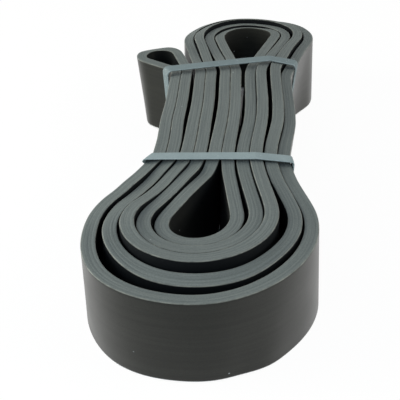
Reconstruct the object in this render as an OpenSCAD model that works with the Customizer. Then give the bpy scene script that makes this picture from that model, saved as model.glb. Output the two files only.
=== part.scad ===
// Endless rubber exercise band, folded into a hank that stands on edge and is held by two rubber ties.
// Sizes in millimetres, +Z up. The strands of the hank run along Y, its front turns lie at -Y.
// The origin is the middle of the hank's outline, on the surface that it rests on.

/* [Band] */
// Width of the strap, which is its height here because it stands on edge
band_w = 32; // [20:1:45]
// Thickness of the layered rubber
band_t = 4.3; // [3:0.1:6]

/* [Waist] */
// Length of the waist, where the strands lie side by side
waist_l = 66.6; // [60:0.1:110]
// Gap between the two strands of one doubled run
pair_gap = 0.5; // [0.45:0.05:1.5]
// Gap between neighbouring runs at the front tie, where they are drawn in
pinch_gap = 0.5; // [0.45:0.05:1.5]
// Gap between neighbouring runs along the rest of the waist
run_gap = 1.4; // [0.5:0.1:3]
// Length over which the strands ease from the one gap to the other, behind the front tie's travel
pinch_l = 26; // [15:1:50]
// How far the strands bow to the right half-way along the waist
waist_bow = 1; // [0:0.1:3]
// How much lower the last strand lies than the first ones at the front tie
front_drop = 1.3; // [0:0.1:3]
// How much higher the last strand but one lies than the first at the rear tie
rear_raise = 3; // [0:0.1:5]

/* [Front turns] */
// From the end of the waist to the far end of the innermost turn
front_l = 46; // [40:0.5:70]
// How far that end lies to the left of the hank's axis
front_shift = 6.2; // [0:0.1:10]
// Innermost turn on the left: half width, half length, shoulder radius
front_left = [9.6, 8.5, 12]; // [6:0.1:16]
// Innermost turn on the right: half width, half length, shoulder radius
front_right = [13.2, 13.5, 13]; // [6:0.1:16]
// Straight share of the innermost turn's left and right leg, between the waist's bend and the shoulder
front_straight = [0.49, 0.76]; // [0:0.01:0.9]
// Gaps between the turns where they leave the front tie on the left, from the inside out
front_gaps_neck_left = [0.6, 0.6, 0.7, 1.0]; // [0.5:0.1:4]
// Gaps between the turns where they leave the front tie on the right
front_gaps_neck_right = [0.7, 0.7, 0.7, 0.7]; // [0.5:0.1:4]
// Gaps between the turns half-way along their left legs
front_gaps_leg = [0.9, 0.7, 0.8, 1.4]; // [0.5:0.1:4]
// Gaps between the turns at their left shoulders
front_gaps_shoulder = [0.7, 0.5, 0.5, 0.8]; // [0.5:0.1:4]
// Gaps between the turns on their left side
front_gaps_left = [1.1, 0.6, 1, 1.5]; // [0.5:0.1:4]
// Gaps between the turns at the front on the left
front_gaps_front_left = [0.9, 0.6, 1, 4]; // [0.5:0.1:6]
// Gaps between the turns at their far end
front_gaps_end = [0.7, 0.7, 1, 3.1]; // [0.5:0.05:6]
// Gaps between the turns at the front on the right
front_gaps_front_right = [0.75, 0.75, 1.4, 1.9]; // [0.5:0.05:6]
// Gaps between the turns on their right side
front_gaps_right = [1.3, 0.8, 2.7, 0.8]; // [0.5:0.1:4]
// How far the lower edge stands outward of the upper one: left, end, right
front_splay = [1.7, -1.2, 3.1]; // [-4:0.1:4]
// The same between these: front left, right of the end, front right
front_splay_between = [-0.5, -0.85, 1.1]; // [-4:0.1:4]

/* [Rear turns] */
// From the end of the waist to the far end of the innermost turn
rear_l = 56.5; // [44:0.5:76]
// How far that end lies to the right of the hank's axis
rear_shift = 6.8; // [0:0.1:12]
// Innermost turn on the left: half width, half length, shoulder radius
rear_left = [14.2, 14, 14]; // [6:0.1:18]
// Innermost turn on the right: half width, half length, shoulder radius
rear_right = [12.4, 9, 12]; // [6:0.1:18]
// Straight share of the innermost turn's left and right leg, between the waist's bend and the shoulder
rear_straight = [0.8, 0.74]; // [0:0.01:0.9]
// Gaps between the turns on their left side, from the inside out
rear_gaps_left = [0.6, 0.6, 0.6]; // [0.5:0.1:3]
// Gaps between the turns at their far end
rear_gaps_end = [0.6, 0.6, 0.6]; // [0.5:0.1:3]
// Gaps between the turns on their right side
rear_gaps_right = [0.6, 1.5, 0.9]; // [0.5:0.1:3]
// Gaps between the turns along their right legs
rear_gaps_leg = [0.7, 0.6, 0.8]; // [0.5:0.1:3]
// Gaps between the turns where they leave the rear tie on the right
rear_gaps_neck = [0.7, 0.7, 0.7]; // [0.5:0.1:3]
// How far the lower edge stands outward of the upper one: left, end, right, neck on the right
rear_splay = [0, 0, 2.4, -2.4]; // [-4:0.1:4]

/* [Side loop] */
// How far the side loop stands out to the left of the first strand
side_reach = 19; // [14:0.5:28]
// Length of the side loop along the hank
side_l = 26; // [22:0.5:40]
// Radius at which the first strand bends out of the waist
side_bend = 6; // [5:0.5:8]
// Radius of the loop's far corners
side_round = 7; // [6:0.5:9]
// How far the loop's lower edge lies to the right of the upper one
side_lean = 2.6; // [0:0.1:6]
// How far it lies behind the upper one
side_tilt = 4; // [0:0.1:8]
// Length of the loop's outer end
side_end = 12; // [8:0.5:16]
// How far the loop's far side falls back towards its outer end
side_skew = 1.4; // [0:0.1:3]
// How far the loop's far side ends to the left of the second strand
side_turn = 9; // [6:0.5:12]
// Radius at which the second strand bends out of the waist
side_neck = 12; // [8:0.5:20]

/* [Ties] */
// Width of the front tie along the hank
front_tie_w = 4; // [3:0.1:9]
// Width of the rear tie along the hank
rear_tie_w = 3.2; // [3:0.1:9]
// Thickness of a tie
tie_t = 0.8; // [0.6:0.1:2]
// Clearance between a tie and the strands
tie_clear = 0.4; // [0.3:0.05:0.8]
// Inner radius of a tie's corners
tie_corner = 1.2; // [0.6:0.1:2]
// Middle of the front tie, from the front end of the waist
front_tie_at = -2; // [-4:0.1:10]
// Angle by which the front tie lies askew
front_tie_skew = 4; // [0:0.5:8]
// Travel of the front tie towards the middle of the waist
front_tie_travel = 6; // [2:1:14]
// Middle of the rear tie, from the rear end of the waist
rear_tie_at = -4.4; // [-6:0.1:16]
// Angle by which the rear tie lies askew
rear_tie_skew = 12; // [0:0.5:14]
// Travel of the rear tie towards the middle of the waist
rear_tie_travel = 30; // [2:1:36]

/* [Hidden] */
strands = 10;
// Steps in each bend, each quarter turn and each corner
bend_steps = 5;
quarter_steps = 8;
corner_steps = 6;
// Spacing of the rings along the waist
waist_step = 12;
// How far ahead of a tie's edges the spread of the strands is taken
tie_ahead = 0.9;
// Lift of each front and rear turn, from the inside out
front_rises = [1, 2.05, 3.35, 1, 0];
rear_rises = [1, 1, 1, 0];
// Share of the front turns' splay that the innermost one has
inner_splay = 0.4;
// How far each front turn sinks where it leaves the tie, and its lift half-way along the left leg
front_dips = [1.2, 1.2, 0.6, 1.2, 0.8];
front_sinks = [1.3, 1.2, 1, 0.5, 1.2];
// How far each strand sags below its neighbours at the waist
sags = [0, 0.4, 0, 0.3, 0.2, 0, 0.6, 0, 0, 0.2];
// Share of the raise that each strand has at the rear tie
rear_shares = [0, 0.1, 0.1, 0.15, 0.2, 0.2, 0.3, 0.6, 1, 0.5];
front_y = -waist_l / 2;
rear_y = waist_l / 2;
waist_lift = tie_t + tie_clear + max(sags);

function mix(a, b, u) = a + (b - a) * u;
function smooth(u) = u * u * (3 - 2 * u);
function unit(v) = v / norm(v);
function back(points) = [for (i = [len(points) - 1:-1:0]) points[i]];
function total(list, n) = n == 0 ? 0 : list[n - 1] + total(list, n - 1);

// Waist: where strand i, counted from 1 at the left, lies across the hank and how high
function strand_at(i, gap) =
    let (width = strands * band_t + strands / 2 * pair_gap + (strands / 2 - 1) * gap)
    (i - 0.5) * band_t + ceil((i - 1) / 2) * pair_gap + floor((i - 1) / 2) * gap - width / 2;
function part_way(y) = min(1, max(0, (y - front_y) / waist_l));
function ease(y) = smooth(min(1, max(0, (y - front_y - front_tie_at - front_tie_travel) / pinch_l)));
function bow(u) = 16 * waist_bow * u * u * (1 - u) * (1 - u);
function strand_x(i, y) = mix(strand_at(i, pinch_gap), strand_at(i, run_gap), ease(y)) + bow(part_way(y));
function front_rise(i) = front_drop * min(1, (strands - i) / 2);
function strand_z(i, y) =
    waist_lift - sags[i - 1] + mix(front_rise(i), rear_raise * rear_shares[i - 1], part_way(y));
function strand(i) =
    let (n = ceil(waist_l / waist_step))
    [for (k = [1:n - 1]) let (y = mix(front_y, rear_y, k / n)) [strand_x(i, y), y, strand_z(i, y), 0, 0]];

// Turns: one leg as bend, straight and shoulder; each point is [out, along, slope]. The bend's radius
// follows from the leg's reach and its straight share.
function bend(out, along, straight, shoulder) =
    (out * out + along * along * (1 - straight * straight)) / (2 * out) - shoulder;
function leg(out, along, straight, shoulder) =
    let (neck = bend(out, along, straight, shoulder),
         sum = neck + shoulder,
         run = straight * along,
         lean = atan2(along, sum - out) - atan2(run, sum))
    concat(
        [for (i = [0:bend_steps]) let (a = lean * i / bend_steps) [neck * (1 - cos(a)), neck * sin(a), a]],
        [[neck * (1 - cos(lean)) + run * sin(lean), neck * sin(lean) + run * cos(lean), lean]],
        [for (i = [1:bend_steps]) let (a = lean * (1 - i / bend_steps))
            [out - shoulder * (1 - cos(a)), along - shoulder * sin(a), a]]);

// Half of an innermost turn as [x, y, normal x, normal y, station]: station 0 at the waist, 2 at the end
function half_turn(x, y, end_x, end_y, size, straight, side) =
    let (way = sign(end_y - y), along = abs(end_y - y) - size[1], out = side * (end_x - x) + size[0])
    concat(
        [for (p = leg(out, along, straight, size[2]))
            [x + side * p[0], y + way * p[1], side * cos(p[2]), -way * sin(p[2]), p[1] / along]],
        [for (i = [1:quarter_steps])
            let (a = 90 * i / quarter_steps, n = unit([cos(a) / size[0], sin(a) / size[1]]))
            [end_x + side * size[0] * cos(a), end_y + way * size[1] * (sin(a) - 1),
             side * n[0], way * n[1], 1 + i / quarter_steps]]);

// Value at a station from a table of stations and values
function at(table, u) =
    let (i = max([for (k = [0:len(table) - 2]) if (table[k][0] <= u) k]), a = table[i], b = table[i + 1])
    mix(a[1], b[1], smooth((u - a[0]) / (b[0] - a[0])));

// A turn laid around an innermost turn, at distances and with heights and splay given at the stations
function around(inner, distances, heights, splay) =
    [for (p = inner) let (d = at(distances, p[4]), s = at(splay, p[4]))
        [p[0] + p[2] * d, p[1] + p[3] * d, at(heights, p[4]), p[2] * s, p[3] * s]];
function whole(left, right) =
    concat(left, [for (i = [len(right) - 2:-1:0]) let (p = right[i]) [p[0], p[1], p[2], p[3], 4 - p[4]]]);

front_inner = whole(
    half_turn(strand_x(5, front_y), front_y, -front_shift, front_y - front_l, front_left, front_straight[0], -1),
    half_turn(strand_x(6, front_y), front_y, -front_shift, front_y - front_l, front_right, front_straight[1], 1));
rear_inner = whole(
    half_turn(strand_x(6, rear_y), rear_y, rear_shift, rear_y + rear_l, rear_left, rear_straight[0], -1),
    half_turn(strand_x(7, rear_y), rear_y, rear_shift, rear_y + rear_l, rear_right, rear_straight[1], 1));

function nest(inner, k, y, l, r, gaps, levels, splay, share) =
    around(inner,
        [[0, strand_x(l + k - 1, y) - strand_x(l, y)],
         for (g = gaps) [g[0], (k - 1) * band_t + total(g[1], k - 1)],
         [4, strand_x(r, y) - strand_x(r - k + 1, y)]],
        [[0, strand_z(l, y)], [0.1, strand_z(l, y)], each levels, [3.92, strand_z(r, y)], [4, strand_z(r, y)]],
        [[0, 0], each [for (s = splay) [s[0], s[1] * share]], [4, 0]]);
function front(k) = nest(front_inner, k, front_y, 6 - k, 5 + k,
    [[0.2, front_gaps_neck_left], [0.45, front_gaps_leg], [0.75, front_gaps_shoulder], [1, front_gaps_left],
     [1.5, front_gaps_front_left], [2, front_gaps_end], [2.5, front_gaps_front_right], [3, front_gaps_right],
     [3.7, front_gaps_neck_right]],
    [[0.24, strand_z(6 - k, front_y) - front_dips[k - 1]], [0.6, front_sinks[k - 1]], [1.1, front_rises[k - 1]],
     [3, front_rises[k - 1]], [3.78, strand_z(5 + k, front_y) - front_dips[k - 1]]],
    [[1, front_splay[0]], [1.5, front_splay_between[0]], [2, front_splay[1]], [2.25, front_splay_between[1]],
     [2.5, front_splay_between[2]], [3, front_splay[2]], [3.7, 0]],
    mix(inner_splay, 1, (k - 1) / 4));
function rear(k) = nest(rear_inner, k, rear_y, 7 - k, 6 + k,
    [[1, rear_gaps_left], [2, rear_gaps_end], [2.9, rear_gaps_right], [3.3, rear_gaps_leg], [3.75, rear_gaps_neck]],
    [[0.75, rear_rises[k - 1]], [3, rear_rises[k - 1]]],
    [[1, rear_splay[0]], [2, rear_splay[1]], [3, rear_splay[2]], [3.5, rear_splay[3]]],
    1);

// Corner i of a polyline, rounded; corners of closed lines wrap round
function corner(line, i, r, grow) =
    let (n = len(line), v = line[i],
         a = unit(line[(i + n - 1) % n] - v), b = unit(line[(i + 1) % n] - v),
         half = acos(a * b) / 2, c = v + unit(a + b) * r / sin(half),
         from = v + a * r / tan(half) - c, start = atan2(from[1], from[0]),
         way = a[0] * b[1] - a[1] * b[0] > 0 ? -1 : 1, sweep = way * (180 - 2 * half))
    [for (k = [0:corner_steps]) let (t = start + sweep * k / corner_steps)
        c + (r + grow) * [cos(t), sin(t)]];

// Side loop: the first strand swings out to the left and comes back as the second
side_line = let (x1 = strand_x(1, rear_y), x2 = strand_x(2, rear_y), y = rear_y, far = rear_y + side_l + 2)
    [[x1, y], [x1, y + 0.8 * side_bend], [x1 - side_reach, far - side_end], [x1 - side_reach + 2, far - side_skew],
     [x2 - side_turn, far + side_skew], [x2, y + side_neck / 2.5], [x2, y]];
side_radii = [side_bend, side_round, side_round, side_round, side_neck];
side_plan = concat([side_line[0]], [for (i = [1:5]) each corner(side_line, i, side_radii[i - 1], 0)],
    [side_line[6]]);
function side_loop() =
    let (n = len(side_plan) - 1)
    [for (i = [0:n]) let (u = i / n, p = side_plan[i],
            down = smooth(min(1, 3 * u, 3 - 3 * u)),
            lean = smooth(max(0, min(1, 6 * u - 1, 2.5 - 3 * u))))
        [p[0], p[1], mix(strand_z(u < 0.5 ? 1 : 2, rear_y), 0, down), side_lean * lean, side_tilt * lean]];

// The whole route, once round the endless band: turns by their number from the inside out, strands
// by theirs from the left
laid = concat(
    front(5), strand(10), back(rear(4)), back(strand(3)), front(3), strand(8), back(rear(2)),
    back(strand(5)), front(1), strand(6), rear(1), back(strand(7)), back(front(2)), strand(4),
    rear(3), back(strand(9)), back(front(4)), strand(2), back(side_loop()), back(strand(1)));
rings = len(laid);

function lap(i) = (i + rings) % rings;
function plan(i) = [laid[lap(i)][0], laid[lap(i)][1]];
function foot(i) = plan(i) + [laid[lap(i)][3], laid[lap(i)][4]];
function across(i) =
    let (d = unit(unit(plan(i + 1) - plan(i)) + unit(plan(i) - plan(i - 1)))) [d[1], -d[0]] * band_t / 2;
function ring(i) =
    let (p = plan(i), low = foot(i), z = laid[i][2], n = across(i))
    [concat(low - n, z), concat(low + n, z), concat(p + n, z + band_w), concat(p - n, z + band_w)];
skin = [for (i = [0:rings - 1]) each ring(i)];
xs = [for (p = skin) p[0]];
ys = [for (p = skin) p[1]];
middle = [(min(xs) + max(xs)) / 2, (min(ys) + max(ys)) / 2, 0];

// Least gap of the band to itself, over points and the stretches between them, and the band's length
function apart(p, a, b) =
    let (d = b - a, u = min(1, max(0, (p - a) * d / (d * d)))) norm(p - a - u * d);
function least_gap() = min([for (i = [0:rings - 1]) for (j = [0:rings - 1])
    if (min(abs(i - j), rings - abs(i - j)) > 8)
        min(apart(plan(i), plan(j), plan(j + 1)), apart(foot(i), foot(j), foot(j + 1)))]) - band_t;
function loop_length() = [for (i = [0:rings - 1]) norm(plan(i + 1) - plan(i))] * [for (i = [0:rings - 1]) 1];

module loop_band() {
    echo(least_gap = least_gap(), loop_length = loop_length(), rings = rings, middle = middle);
    color([0.24, 0.24, 0.23])
        translate(-middle)
            polyhedron(skin, [for (i = [0:rings - 1]) for (c = [0:3])
                let (a = 4 * i, b = 4 * lap(i + 1), e = (c + 1) % 4)
                each [[a + c, a + e, b + e], [a + c, b + e, b + c]]]);
}

// How far a leg, listed from the waist outward, stands out of its strand's line at y
function spread_at(leg, y) =
    let (root = leg[0][0]) lookup(y, [for (p = leg) [p[1], max(abs(p[0] - root), abs(p[0] + p[3] - root))]]);
function first_half(turn) = [for (i = [0:floor(len(turn) / 2)]) turn[i]];

// A tie as a flat ring round the strands at y, wide enough for them from rest to the end of its travel.
// Its two edges follow the legs, left and right, that spread out of the waist under it.
module tie(y, width, travel, skew, peak, legs) {
    slack = tie_clear + width / 2 * tan(skew);
    swing = strand_x(strands, y) * sin(skew);
    ahead = travel > 0 ? -tie_ahead : tie_ahead;
    stops = [for (k = [0:4]) y + travel * k / 4];
    halves = [-width / 2, width / 2];
    left = min([for (e = stops, h = halves) strand_x(1, e + h - swing)]) - band_t / 2 - slack;
    right = max([for (e = stops, h = halves) strand_x(strands, e + h + swing)]) + band_t / 2 + slack;
    top = [for (i = [1:strands]) max([for (e = stops) strand_z(i, e) + sags[i - 1]]) + band_w + tie_clear];
    edges = [for (h = halves)
        let (l = left - spread_at(legs[0], y + h + ahead - swing),
             r = right + spread_at(legs[1], y + h + ahead + swing))
        [for (p = [[r, tie_t], [r, top[strands - 1]], [strand_x(peak, y), top[peak - 1]], [l, top[0]], [l, tie_t]])
            [p[0] / cos(skew), p[1]]]];
    loops = [for (c = [[0, tie_t], [1, tie_t], [1, 0], [0, 0]])
        [for (i = [0:4]) each [for (p = corner(edges[c[0]], i, tie_corner, c[1]))
            [p[0], halves[c[0]], p[1]]]]];
    n = len(loops[0]);
    translate([0, y, 0] - middle)
        rotate([0, 0, skew])
            polyhedron([for (l = loops) each l], [for (k = [0:3]) for (i = [0:n - 1])
                let (a = k * n, b = (k + 1) % 4 * n, e = (i + 1) % n)
                each [[a + i, a + e, b + e], [a + i, b + e, b + i]]]);
}

module front_tie() {
    turn = front(5);
    color([0.46, 0.52, 0.54])
        tie(front_y + front_tie_at, front_tie_w, front_tie_travel, front_tie_skew, 8,
            [first_half(turn), first_half(back(turn))]);
}

module rear_tie() {
    color([0.46, 0.52, 0.54])
        tie(rear_y - rear_tie_at, rear_tie_w, -rear_tie_travel, rear_tie_skew, 9,
            [[for (i = [0:corner_steps + 1]) side_loop()[i]], first_half(back(rear(4)))]);
}

loop_band();
front_tie();
rear_tie();
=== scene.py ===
"""Endless rubber exercise band, folded into a hank on edge and held by two flat rubber ties.

The hank's route follows the part's source, in millimetres, with finer steps and closer strands. The
pieces are built from it in metres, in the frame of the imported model.
"""

import logging
import math
from dataclasses import dataclass
from enum import Enum
from typing import NamedTuple, Optional, Sequence, Union

import bpy
import numpy as np
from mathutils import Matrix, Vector


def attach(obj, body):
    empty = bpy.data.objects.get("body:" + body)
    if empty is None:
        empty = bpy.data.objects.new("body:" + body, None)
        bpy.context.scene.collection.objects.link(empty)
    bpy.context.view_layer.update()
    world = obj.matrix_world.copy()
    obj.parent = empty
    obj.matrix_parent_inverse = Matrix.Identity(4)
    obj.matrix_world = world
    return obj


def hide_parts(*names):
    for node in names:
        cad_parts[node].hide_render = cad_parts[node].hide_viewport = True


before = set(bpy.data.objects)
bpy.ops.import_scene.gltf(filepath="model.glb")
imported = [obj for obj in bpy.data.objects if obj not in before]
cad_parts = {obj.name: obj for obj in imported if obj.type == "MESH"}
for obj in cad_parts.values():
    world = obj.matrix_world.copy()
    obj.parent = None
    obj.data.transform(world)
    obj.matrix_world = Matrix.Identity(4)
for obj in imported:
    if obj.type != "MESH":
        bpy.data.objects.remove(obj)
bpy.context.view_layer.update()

LOG = logging.getLogger("band_scene")
MM = 0.001

# Columns of a route point
PLAN = slice(0, 2)
FOOT = 2
SHIFT = slice(3, 5)
SLOPE = slice(5, 7)
LIFT = 7

# Further columns of an innermost turn, and the station at its right end
OUTWARD = slice(2, 4)
STATION = 4
LAST_STATION = 4

# Points of the route that are nearer than this are one point, and how many blur lengths a blur reaches
SAME_PLACE = 1e-6
BLUR_REACH = 3

Array = np.ndarray
Numbers = Union[float, Array]
Row = tuple[float, ...]
Span = tuple[float, float]
Triple = tuple[float, float, float]
Place = Triple
Colour = Triple
Table = Sequence[Span]
GapTable = Sequence[tuple[float, Row]]
Node = bpy.types.Node
NodeTree = bpy.types.NodeTree
Socket = bpy.types.NodeSocket
Link = Union[Socket, float, Sequence[float]]


class Body(Enum):
    """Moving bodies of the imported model."""

    BAND = "band"
    FRONT_TIE = "front_tie"
    REAR_TIE = "rear_tie"


class Slot(Enum):
    """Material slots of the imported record."""

    BAND_RUBBER = "band_rubber"
    TIE_RUBBER = "tie_rubber"


class Side(Enum):
    """Sides of the hank seen from its front turns; the value is the sign of X."""

    LEFT = -1
    RIGHT = 1


class PointValue(Enum):
    """Named values that the meshes carry for their materials."""

    ALONG = "along"
    ACROSS = "across"
    UP = "up"
    CUT = "cut"
    CORNER = "corner"
    GROOVE = "groove"
    OPEN = "open"


def smooth(share: Numbers) -> Array:
    """Smooth step of a share, flat below 0 and above 1."""
    share = np.clip(share, 0, 1)
    return share * share * (3 - 2 * share)


def mix(first: Numbers, second: Numbers, share: Numbers) -> Array:
    """Straight mix of two values."""
    return first + (second - first) * share


def unit(rows: Array) -> Array:
    """Rows scaled to a length of 1."""
    return rows / np.linalg.norm(rows, axis=-1, keepdims=True)


def headings(line: Array) -> Array:
    """Direction of a closed line at each of its points."""
    return unit(np.roll(line, -1, axis=0) - np.roll(line, 1, axis=0))


def slope(degrees: Numbers) -> Array:
    """Rise over run of an angle."""
    return np.tan(np.radians(degrees))


def at_station(table: Table, station: Array) -> Array:
    """Value at each station, with smooth steps between a table's rows.

    Args:
        table: Rows of station and value, in rising order.
        station: Stations that values are wanted for.

    Returns:
        One value for each station.
    """
    stops = np.array([row[0] for row in table], float)
    values = np.array([row[1] for row in table], float)
    index = np.clip(np.searchsorted(stops, station, side="right") - 1, 0, len(stops) - 2)
    share = (station - stops[index]) / (stops[index + 1] - stops[index])
    return mix(values[index], values[index + 1], smooth(share))


def round_corner(line: Array, index: int, radius: float, steps: int) -> Array:
    """Points of a polyline's corner, rounded; closed lines wrap round.

    Args:
        line: Corner points of the polyline.
        index: Which corner.
        radius: Radius of the rounding.
        steps: Steps along the arc.

    Returns:
        Points of the arc, in the line's order.
    """
    corner = line[index]
    before = unit(line[(index - 1) % len(line)] - corner)
    after = unit(line[(index + 1) % len(line)] - corner)
    half = math.acos(float(before @ after)) / 2
    centre = corner + unit(before + after) * radius / math.sin(half)
    start = corner + before * radius / math.tan(half) - centre
    turn = -1 if before[0] * after[1] - before[1] * after[0] > 0 else 1
    swept = turn * (math.pi - 2 * half) * np.linspace(0, 1, steps + 1)
    angles = math.atan2(start[1], start[0]) + swept
    return centre + radius * np.stack([np.cos(angles), np.sin(angles)], 1)


@dataclass
class HankRoute:
    """Route of the endless band through the hank, in millimetres and degrees.

    A point of the route is [x, y, height of the lower edge, offset of the lower edge in x and y, slope
    of the upper edge in x and y, lift of the upper edge's middle]. Strands count from the left and turns
    from the inside out. Stations along a turn are 0 at its left strand, 1 at the left shoulder, 2 at the
    far end, 3 at the right shoulder and 4 at the right strand.
    """

    # Strap, and the gaps between its strands along the waist
    width: float = 32.0
    thickness: float = 4.3
    strands: int = 10
    waist: float = 66.6
    pair_gap: float = 0.3
    pinch_gap: float = 0.75
    run_gap: float = 1.65
    pinch_start: float = 4.0
    pinch_length: float = 26.0
    waist_bow: float = 1.0
    # Lower edges of the strands: pitch, share of the waist over which they draw in, and heights
    foot_pitch: float = 4.68
    foot_draw: float = 0.2
    lift: float = 1.8
    front_raise: float = 1.3
    rear_raise: float = 3.0
    rear_shares: Row = (0, 0.1, 0.1, 0.15, 0.2, 0.2, 0.3, 0.6, 1, 0)
    sags: Row = (0.9, 0.7, 0.4, 0.4, 0.2, 0.1, 0.6, 0, 0.2, 0.8)
    # Slant of each strand's upper edge at the rear of the waist
    rear_falls: Row = (-8, 0, 0, 0, 0, 0, 0, 0, 15, 6)
    # Stations where a turn has left the one strand's height and reached the other's
    level_ends: Span = (0.1, 3.92)
    # Innermost front turn: its far end, half width, half length and shoulder radius of its two halves,
    # straight shares of their legs, and how far behind the waist's end the left one starts
    front_length: float = 46.0
    front_shift: float = 6.2
    front_left: Triple = (9.6, 8.5, 12)
    front_right: Triple = (13.2, 13.5, 13)
    front_straight: Span = (0.66, 0.76)
    front_lead: float = 1.9
    # Gaps between the front turns, and how far their lower edges stand outward, by station
    front_gaps: GapTable = (
        (0.1, (0.75, 0.3, 0.6, 0.35)),
        (0.25, (0.6, 0.3, 0.4, 0.3)),
        (0.45, (0.8, 0.3, 0.45, 0.35)),
        (0.75, (0.9, 0.35, 0.6, 0.7)),
        (1, (1.1, 0.6, 1, 1.5)),
        (1.5, (0.9, 0.6, 1, 4.0)),
        (2, (0.7, 0.7, 1, 3.1)),
        (2.5, (0.75, 0.6, 1.5, 1.9)),
        (3, (1.4, 0.4, 2.9, 0.8)),
        (3.7, (0.9, 0.35, 0.7, 0.5)),
    )
    front_splay: Table = (
        (0, 0), (1, 1.7), (1.5, -0.5), (2, -1.2), (2.25, -0.85), (2.5, 1.1), (3, 3.1), (3.7, 0), (4, 0))
    inner_splay: float = 0.4
    # Front turns: height, dip past the tie, height of the left leg, slants of the left side and far end
    front_rises: Row = (1, 2.3, 3.6, 1, 0)
    front_dips: Row = (2.4, 1.0, 0.6, 0.2, 0.1)
    front_leg_rises: Row = (1.3, 1.2, 1.0, 0.5, 1.2)
    front_slants: tuple[Span, ...] = ((8, -8), (10, -11), (12, -10), (13, 13), (9, -9))
    # Stations of these heights and slants
    front_level_stops: Row = (0.24, 0.6, 1.1, 3, 3.78)
    front_slant_stops: Row = (0, 0.1, 0.3, 0.9, 1.2, 1.75, 2.25, 2.9, 4)
    # Rear turns, in the same way
    rear_length: float = 56.5
    rear_shift: float = 6.8
    rear_left: Triple = (14.2, 14, 14)
    rear_right: Triple = (12.4, 9, 12)
    rear_straight: Span = (0.8, 0.74)
    rear_gaps: GapTable = (
        (1, (0.6, 0.6, 0.6)),
        (2, (0.6, 0.6, 0.6)),
        (2.5, (0.6, 1.2, 0.7)),
        (2.9, (0.6, 1.5, 0.9)),
        (3.3, (0.7, 0.6, 0.8)),
        (3.75, (0.7, 1.0, 0.7)),
    )
    rear_splay: Table = ((0.4, 0), (1, 0), (2, 0), (3, 2.4), (3.5, -2.4))
    rear_rises: Row = (1, 0.5, 1.6, 0)
    rear_slants: Row = (20, 12, 24, 26)
    rear_level_stops: Span = (0.75, 3)
    rear_slant_stops: Row = (0, 0.3, 0.75, 1.3, 2.2, 2.75, 3.2, 3.8, 4)
    # Side loop: its corners and their radii
    side_start: float = 4.8
    side_reach: float = 19.0
    side_length: float = 28.0
    side_end: float = 12.0
    side_nose: float = 2.0
    side_skew: float = 1.4
    side_turn: float = 9.0
    side_radii: Row = (6, 7, 7, 7, 12)
    # Side loop: lean and slant, with the shares of both and of its ends' heights along its way
    side_lean: Span = (2.6, 4.0)
    side_slant: float = 16.0
    side_down: Table = ((0, 0), (1 / 3, 1), (2 / 3, 1), (1, 0))
    side_leaning: Table = ((0, 0), (1 / 6, 0), (1 / 3, 1), (1 / 2, 1), (5 / 6, 0), (1, 0))
    side_slanting: Table = ((0, 0), (3 / 8, 0), (1 / 2, 1), (9 / 16, 1), (11 / 16, 0), (1, 0))
    side_begin: Table = ((0, 1), (1 / 6, 0), (1, 0))
    side_finish: Table = ((0, 0), (5 / 6, 0), (1, 1))
    # Middle of the hank's outline, and steps along the route's parts
    middle: Span = (-2.12499, 1.2502)
    bend_steps: int = 14
    quarter_steps: int = 30
    corner_steps: int = 14
    waist_steps: int = 34

    @property
    def front_y(self) -> float:
        """Front end of the waist."""
        return -self.waist / 2

    @property
    def rear_y(self) -> float:
        """Rear end of the waist."""
        return self.waist / 2

    @property
    def half(self) -> int:
        """Number of strands in one half of the hank."""
        return self.strands // 2

    def way(self, y: Numbers) -> Array:
        """Share of the waist in front of y."""
        return np.clip((np.asarray(y, float) - self.front_y) / self.waist, 0, 1)

    def bow(self, y: Numbers) -> Array:
        """How far the strands bow to the right at y."""
        way = self.way(y)
        return self.waist_bow * (4 * way * (1 - way)) ** 2

    def strand_at(self, number: int, gap: float) -> float:
        """Place of a strand across the hank, for one gap between all neighbouring pairs.

        Args:
            number: Number of the strand.
            gap: The gap.

        Returns:
            Its place in x.
        """
        whole = self.strands * self.thickness + self.half * self.pair_gap + (self.half - 1) * gap
        pairs, runs = number // 2, (number - 1) // 2
        return (number - 0.5) * self.thickness + pairs * self.pair_gap + runs * gap - whole / 2

    def strand_x(self, number: int, y: Numbers) -> Array:
        """Place of a strand across the hank.

        Args:
            number: Number of the strand.
            y: Where along the hank.

        Returns:
            Its place in x.
        """
        spread = smooth((y - self.front_y - self.pinch_start) / self.pinch_length)
        place = mix(self.strand_at(number, self.pinch_gap), self.strand_at(number, self.run_gap), spread)
        return place + self.bow(y)

    def strand_z(self, number: int, y: Numbers) -> Array:
        """Height of a strand's lower edge.

        Args:
            number: Number of the strand.
            y: Where along the hank.

        Returns:
            The height.
        """
        front = self.front_raise * min(1.0, (self.strands - number) / 2)
        rear = self.rear_raise * self.rear_shares[number - 1]
        return self.lift - self.sags[number - 1] + mix(front, rear, self.way(y))

    def foot_shift(self, number: int, y: Numbers) -> Array:
        """How far a strand's lower edge lies to the right of the upper one at y, drawn in with the others."""
        packed = (number - (self.strands + 1) / 2) * self.foot_pitch + self.bow(y)
        return smooth(self.way(y) / self.foot_draw) * (packed - self.strand_x(number, y))

    def strand(self, number: int) -> Array:
        """One strand from front to rear, without the waist's ends.

        Args:
            number: Number of the strand.

        Returns:
            Route points.
        """
        y = np.linspace(self.front_y, self.rear_y, self.waist_steps + 1)[1:-1]
        fall = -slope(self.rear_falls[number - 1]) * smooth(self.way(y))
        flat = np.zeros(len(y))
        return np.stack([
            self.strand_x(number, y), y, self.strand_z(number, y), self.foot_shift(number, y), flat,
            fall, flat, -np.abs(fall) * self.thickness / 2], 1)

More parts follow.
